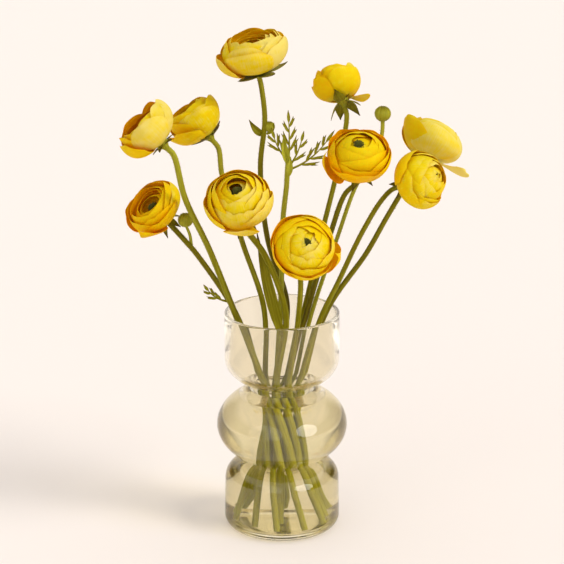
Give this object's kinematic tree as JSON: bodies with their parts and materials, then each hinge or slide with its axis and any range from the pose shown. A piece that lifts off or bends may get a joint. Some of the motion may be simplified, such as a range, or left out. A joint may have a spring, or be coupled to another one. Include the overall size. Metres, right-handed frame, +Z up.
{
  "type": "ranunculus flowers in a vase",
  "caption": "Loose bouquet of double yellow ranunculus blooms on slender green stems, with buds and cut leaves, standing in water in a tiered amber glass vase.",
  "frame": {"origin": "middle of the vase's foot, on the surface that it stands on", "axes": "+Z up, +X to the viewer's right and -Y towards the viewer in the picture"},
  "size_m": [0.2576, 0.1282, 0.3917],
  "materials": {
    "petal": "soft satin, veined petal",
    "heart": "matt, tightly packed carpels",
    "stem": "satin, finely ribbed green stem",
    "glass": "clear, blown, pale amber",
    "water": "clear liquid"
  },
  "bodies": {
    "root": {"vase": "glass", "water": "water", "bloom_1": "petal", "bloom_2": "petal", "bloom_3": "petal", "bloom_4": "petal", "bloom_5": "petal", "bloom_6": "petal", "bloom_7": "petal", "bloom_8": "petal", "bloom_9": "petal", "bloom_10": "petal", "heart_1": "heart", "heart_2": "heart", "heart_3": "heart", "heart_4": "heart", "heart_5": "heart", "heart_6": "heart", "heart_7": "heart", "heart_8": "heart", "heart_9": "heart", "heart_10": "heart", "stem_1": "stem", "stem_2": "stem", "stem_3": "stem", "stem_4": "stem", "stem_5": "stem", "stem_6": "stem", "stem_7": "stem", "stem_8": "stem", "stem_9": "stem", "stem_10": "stem", "bud_stem": "stem", "leaf_stem": "stem"}
  },
  "joints": []
}
